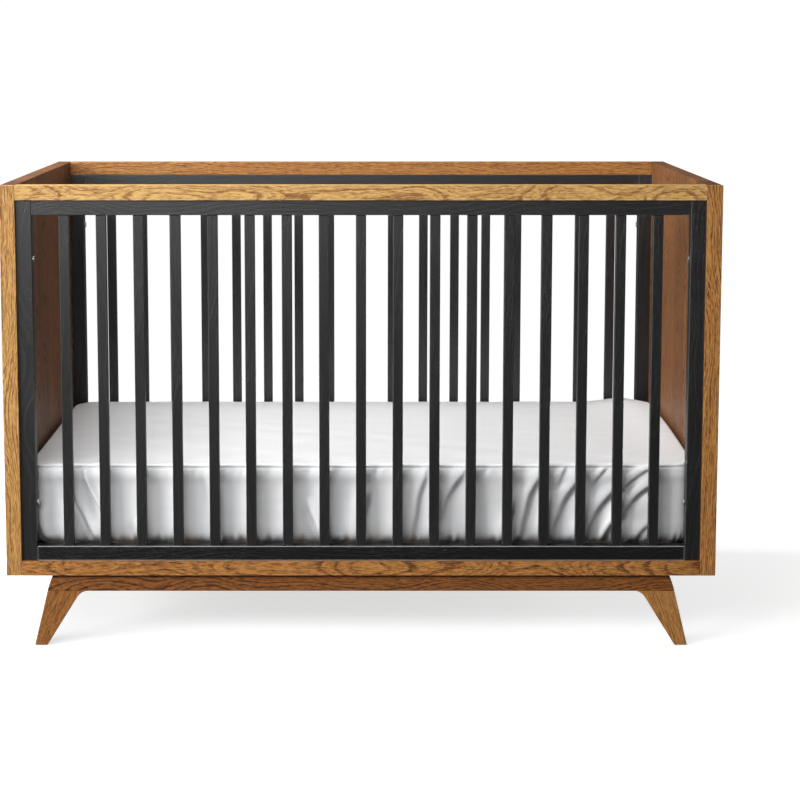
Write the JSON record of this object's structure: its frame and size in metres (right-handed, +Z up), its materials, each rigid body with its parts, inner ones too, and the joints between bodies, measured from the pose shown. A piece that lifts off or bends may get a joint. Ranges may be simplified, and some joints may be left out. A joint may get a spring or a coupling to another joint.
{
  "type": "baby crib",
  "caption": "Rectangular oak crib with solid end panels, black slatted sides, splayed legs, and a mattress in a white sheet on a height-adjustable slatted support.",
  "frame": {"origin": "on the floor under the middle of the crib, which is the middle of its bounding box's bottom", "axes": "+X along the crib's length to the right as seen from the front, +Y to the rear side, +Z up"},
  "size_m": [1.39, 0.773, 0.912],
  "materials": {
    "oak": "satin",
    "black_wood": "satin",
    "pine": "matte",
    "beech": "matte",
    "zinc_steel": "satin",
    "insert_steel": "satin",
    "nylon": "matte",
    "mattress_foam": "matte",
    "satin_sheet": "satin"
  },
  "bodies": {
    "frame": {"base_bolts": "zinc_steel", "base_dowels": "beech", "base_inserts": "insert_steel", "foot_glides": "nylon", "frame_dowels": "beech", "front_base_rail": "oak", "front_bottom_rail": "oak", "front_frame_bottom_rail": "black_wood", "front_frame_top_rail": "black_wood", "front_left_leg": "oak", "front_left_stile": "black_wood", "front_right_leg": "oak", "front_right_stile": "black_wood", "front_slat_01": "black_wood", "front_slat_02": "black_wood", "front_slat_03": "black_wood", "front_slat_04": "black_wood", "front_slat_05": "black_wood", "front_slat_06": "black_wood", "front_slat_07": "black_wood", "front_slat_08": "black_wood", "front_slat_09": "black_wood", "front_slat_10": "black_wood", "front_slat_11": "black_wood", "front_slat_12": "black_wood", "front_slat_13": "black_wood", "front_slat_14": "black_wood", "front_slat_15": "black_wood", "front_slat_16": "black_wood", "front_slat_17": "black_wood", "front_top_rail": "oak", "hanger_bolts": "zinc_steel", "height_inserts": "insert_steel", "left_base_rail": "oak", "left_end_panel": "oak", "panel_bolts": "zinc_steel", "panel_inserts": "insert_steel", "rail_dowels": "beech", "rear_base_rail": "oak", "rear_bottom_rail": "oak", "rear_frame_bottom_rail": "black_wood", "rear_frame_top_rail": "black_wood", "rear_left_leg": "oak", "rear_left_stile": "black_wood", "rear_right_leg": "oak", "rear_right_stile": "black_wood", "rear_slats": "black_wood", "rear_top_rail": "oak", "right_base_rail": "oak", "right_end_panel": "oak"},
    "mattress_support": {"support_brackets": "zinc_steel", "support_centre_rail": "pine", "support_front_rail": "black_wood", "support_left_rail": "black_wood", "support_rear_rail": "black_wood", "support_right_rail": "black_wood", "support_screws": "zinc_steel", "support_slats": "pine"},
    "mattress": {"mattress": "mattress_foam", "fitted_sheet": "satin_sheet"}
  },
  "joints": [
    {"name": "support_height", "type": "slide", "parent": "frame", "child": "mattress_support", "axis": [0, 0, 1], "range_m": [0, 0.288]},
    {"name": "mattress_lift", "type": "slide", "parent": "mattress_support", "child": "mattress", "axis": [0, 0, 1], "range_m": [0, 0.72]}
  ]
}
